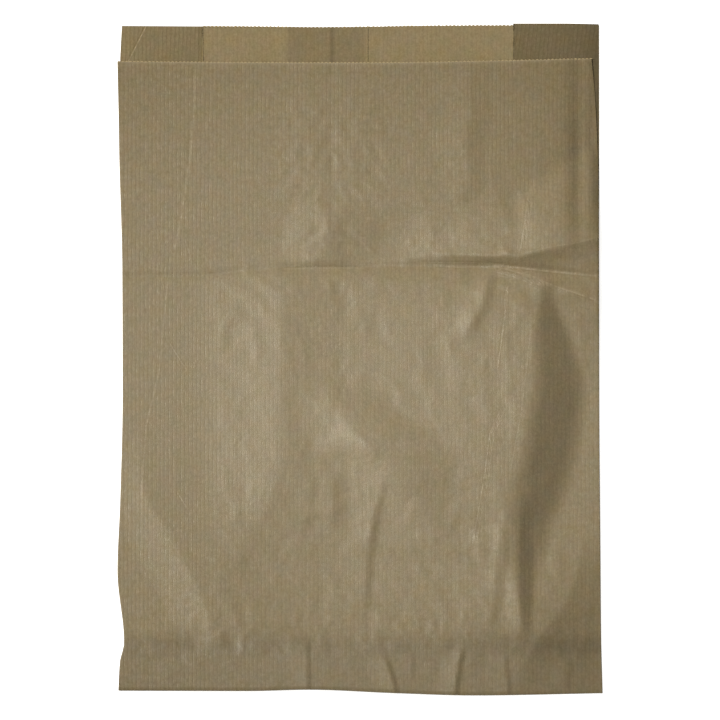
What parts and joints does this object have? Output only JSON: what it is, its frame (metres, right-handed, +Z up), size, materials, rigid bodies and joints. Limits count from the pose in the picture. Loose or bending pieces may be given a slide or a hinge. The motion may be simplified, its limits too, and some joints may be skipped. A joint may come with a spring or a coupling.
{
  "type": "paper bread bag",
  "caption": "Flat ribbed kraft paper bread bag with side gussets, a cut-back front lip and a folded-under bottom, lying empty.",
  "frame": {"origin": "middle of the bag's box, on the surface that it lies on", "axes": "+Y towards the mouth along the bag's length, +X across the bag to the right, +Z up out of the front panel"},
  "size_m": [0.2636, 0.3646, 0.0075],
  "materials": {
    "ribbed_kraft": "thin brown kraft paper with fine upright ribs, slightly glazed outside"
  },
  "bodies": {
    "root": {"bread_bag": "ribbed_kraft"}
  },
  "joints": []
}
